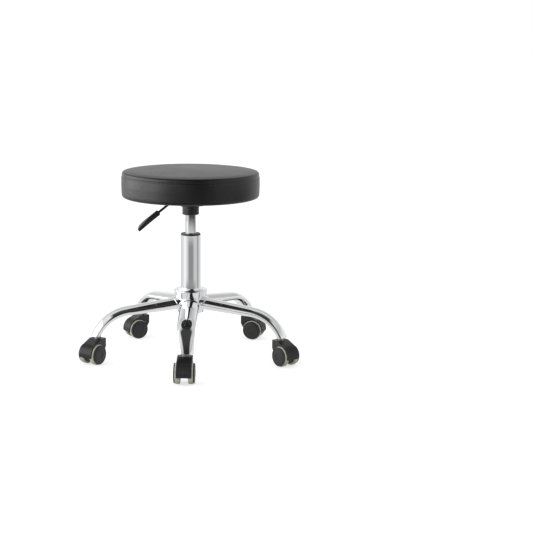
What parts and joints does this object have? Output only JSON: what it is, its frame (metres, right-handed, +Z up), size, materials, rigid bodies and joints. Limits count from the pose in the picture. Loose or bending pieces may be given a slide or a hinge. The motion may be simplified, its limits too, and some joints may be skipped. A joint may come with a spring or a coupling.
{
  "type": "technician stool",
  "caption": "Rolling technician stool: round padded black seat on a chromed gas-lift column with a release lever, chromed star base and twin-wheel casters.",
  "frame": {"origin": "on the floor under the column's axis", "axes": "+Z up the column; -Y out along leg 1, the leg that points towards the camera; +X to the camera's right"},
  "size_m": [0.5387, 0.5, 0.4688],
  "materials": {
    "chrome": "bright chrome plate",
    "steel": "plain steel",
    "piston_alloy": "turned",
    "black_plastic": "satin black",
    "caster_plastic": "satin black, ribbed on the hoods",
    "tyre": "soft grey-olive polyurethane",
    "black_steel": "black powder coat",
    "rubber": "plain",
    "leatherette": "fine grained black, slightly glossy",
    "foam": "open cell foam",
    "board": "plywood",
    "dust_cloth": "black non-woven cloth"
  },
  "bodies": {
    "base": {"base_hub": "chrome", "base_leg_1": "chrome", "base_leg_2": "chrome", "base_leg_3": "chrome", "base_leg_4": "chrome", "base_leg_5": "chrome", "caster_stems": "steel", "stem_grip_rings": "steel", "column_tube": "chrome", "guide_bushing": "black_plastic", "thrust_bearing": "steel"},
    "lift_rod": {"piston_rod": "steel", "piston_head": "piston_alloy", "rod_clip": "steel", "stop_bumper": "rubber"},
    "seat": {"gas_cylinder": "chrome", "rod_guide": "steel", "taper_socket": "black_steel", "socket_collar": "black_plastic", "seat_plate": "black_steel", "lever_pivot_pin": "steel", "plate_bolts": "steel", "tee_nuts": "steel", "seat_board": "board", "seat_foam": "foam", "seat_cover": "leatherette", "dust_cover": "dust_cloth"},
    "release_lever": {"lever_rod": "black_steel", "lever_handle": "black_plastic"},
    "release_button": {"release_button": "black_plastic"},
    "caster_1": {"caster_hood_1": "caster_plastic", "caster_axle_1": "steel"},
    "wheels_1_left": {"wheel_1_left": "caster_plastic", "tyre_1_left": "tyre"},
    "wheels_1_right": {"wheel_1_right": "caster_plastic", "tyre_1_right": "tyre"},
    "caster_2": {"caster_hood_2": "caster_plastic", "caster_axle_2": "steel"},
    "wheels_2_left": {"wheel_2_left": "caster_plastic", "tyre_2_left": "tyre"},
    "wheels_2_right": {"wheel_2_right": "caster_plastic", "tyre_2_right": "tyre"},
    "caster_3": {"caster_hood_3": "caster_plastic", "caster_axle_3": "steel"},
    "wheels_3_left": {"wheel_3_left": "caster_plastic", "tyre_3_left": "tyre"},
    "wheels_3_right": {"wheel_3_right": "caster_plastic", "tyre_3_right": "tyre"},
    "caster_4": {"caster_hood_4": "caster_plastic", "caster_axle_4": "steel"},
    "wheels_4_left": {"wheel_4_left": "caster_plastic", "tyre_4_left": "tyre"},
    "wheels_4_right": {"wheel_4_right": "caster_plastic", "tyre_4_right": "tyre"},
    "caster_5": {"caster_hood_5": "caster_plastic", "caster_axle_5": "steel"},
    "wheels_5_left": {"wheel_5_left": "caster_plastic", "tyre_5_left": "tyre"},
    "wheels_5_right": {"wheel_5_right": "caster_plastic", "tyre_5_right": "tyre"}
  },
  "joints": [
    {"name": "seat_swivel", "type": "hinge", "parent": "base", "child": "lift_rod", "pos_m": [0, 0, 0.30742], "axis": [0, 0, 1], "continuous": true},
    {"name": "seat_lift", "type": "slide", "parent": "lift_rod", "child": "seat", "axis": [0, 0, 1], "range_m": [-0.035, 0.085]},
    {"name": "lever_lift", "type": "hinge", "parent": "seat", "child": "release_lever", "pos_m": [-0.02391, -0.00731, 0.39542], "axis": [-0.2924, 0.9563, 0], "range_deg": [0, 8], "stiffness_Nm_per_rad": 1.5, "springref_deg": -5.73},
    {"name": "button_press", "type": "slide", "parent": "seat", "child": "release_button", "axis": [0, 0, -1], "range_m": [0, 0.0035]},
    {"name": "caster_1_swivel", "type": "hinge", "parent": "base", "child": "caster_1", "pos_m": [0, -0.236, 0.061], "axis": [0, 0, 1], "continuous": true},
    {"name": "wheel_1_left_spin", "type": "hinge", "parent": "caster_1", "child": "wheels_1_left", "pos_m": [-0.00035, -0.256, 0.025], "axis": [0.9998, -0.0175, 0], "continuous": true},
    {"name": "wheel_1_right_spin", "type": "hinge", "parent": "caster_1", "child": "wheels_1_right", "pos_m": [-0.00035, -0.256, 0.025], "axis": [0.9998, -0.0175, 0], "continuous": true},
    {"name": "caster_2_swivel", "type": "hinge", "parent": "base", "child": "caster_2", "pos_m": [0.22445, -0.07293, 0.061], "axis": [0, 0, 1], "continuous": true},
    {"name": "wheel_2_left_spin", "type": "hinge", "parent": "caster_2", "child": "wheels_2_left", "pos_m": [0.2373, -0.08825, 0.025], "axis": [0.766, 0.6428, 0], "continuous": true},
    {"name": "wheel_2_right_spin", "type": "hinge", "parent": "caster_2", "child": "wheels_2_right", "pos_m": [0.2373, -0.08825, 0.025], "axis": [0.766, 0.6428, 0], "continuous": true},
    {"name": "caster_3_swivel", "type": "hinge", "parent": "base", "child": "caster_3", "pos_m": [0.13872, 0.19093, 0.061], "axis": [0, 0, 1], "continuous": true},
    {"name": "wheel_3_left_spin", "type": "hinge", "parent": "caster_3", "child": "wheels_3_left", "pos_m": [0.15784, 0.18508, 0.025], "axis": [0.2924, 0.9563, 0], "continuous": true},
    {"name": "wheel_3_right_spin", "type": "hinge", "parent": "caster_3", "child": "wheels_3_right", "pos_m": [0.15784, 0.18508, 0.025], "axis": [0.2924, 0.9563, 0], "continuous": true},
    {"name": "caster_4_swivel", "type": "hinge", "parent": "base", "child": "caster_4", "pos_m": [-0.13872, 0.19093, 0.061], "axis": [0, 0, 1], "continuous": true},
    {"name": "wheel_4_left_spin", "type": "hinge", "parent": "caster_4", "child": "wheels_4_left", "pos_m": [-0.15568, 0.18033, 0.025], "axis": [0.5299, -0.848, 0], "continuous": true},
    {"name": "wheel_4_right_spin", "type": "hinge", "parent": "caster_4", "child": "wheels_4_right", "pos_m": [-0.15568, 0.18033, 0.025], "axis": [0.5299, -0.848, 0], "continuous": true},
    {"name": "caster_5_swivel", "type": "hinge", "parent": "base", "child": "caster_5", "pos_m": [-0.22445, -0.07293, 0.061], "axis": [0, 0, 1], "continuous": true},
    {"name": "wheel_5_left_spin", "type": "hinge", "parent": "caster_5", "child": "wheels_5_left", "pos_m": [-0.23505, -0.08989, 0.025], "axis": [0.848, -0.5299, 0], "continuous": true},
    {"name": "wheel_5_right_spin", "type": "hinge", "parent": "caster_5", "child": "wheels_5_right", "pos_m": [-0.23505, -0.08989, 0.025], "axis": [0.848, -0.5299, 0], "continuous": true}
  ],
  "couplings": [
    {"joint": "button_press", "follows": "lever_lift", "m_per_rad": 0.025}
  ]
}
